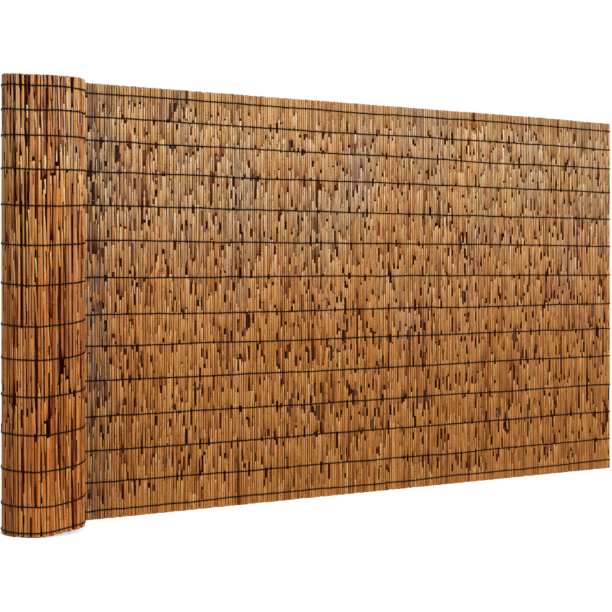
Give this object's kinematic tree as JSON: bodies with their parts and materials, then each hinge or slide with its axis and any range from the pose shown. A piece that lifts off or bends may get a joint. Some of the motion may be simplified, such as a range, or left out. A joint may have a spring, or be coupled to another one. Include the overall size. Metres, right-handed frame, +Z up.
{
  "type": "reed screen",
  "caption": "Reed screen of upright reeds bound with rows of thin wire, part rolled up and part standing open as a panel.",
  "frame": {"origin": "centre of the foot of the whole screen, roll and panel together, on the surface that it stands on", "axes": "+X along the open panel from the roll to the free edge, +Y towards the back of the panel (the roll stands in front), +Z up along the reeds"},
  "size_m": [2.2674, 0.2008, 1.2],
  "materials": {
    "reed": "dried natural reed, straw to golden brown, slightly glossy skin",
    "binding_wire": "thin dark coated wire"
  },
  "bodies": {
    "root": {"reed_mat": "reed", "front_wire_01": "binding_wire", "front_wire_02": "binding_wire", "front_wire_03": "binding_wire", "front_wire_04": "binding_wire", "front_wire_05": "binding_wire", "front_wire_06": "binding_wire", "front_wire_07": "binding_wire", "front_wire_08": "binding_wire", "front_wire_09": "binding_wire", "front_wire_10": "binding_wire", "front_wire_11": "binding_wire", "front_wire_12": "binding_wire", "front_wire_13": "binding_wire", "front_wire_14": "binding_wire", "back_wire_01": "binding_wire", "back_wire_02": "binding_wire", "back_wire_03": "binding_wire", "back_wire_04": "binding_wire", "back_wire_05": "binding_wire", "back_wire_06": "binding_wire", "back_wire_07": "binding_wire", "back_wire_08": "binding_wire", "back_wire_09": "binding_wire", "back_wire_10": "binding_wire", "back_wire_11": "binding_wire", "back_wire_12": "binding_wire", "back_wire_13": "binding_wire", "back_wire_14": "binding_wire"}
  },
  "joints": []
}
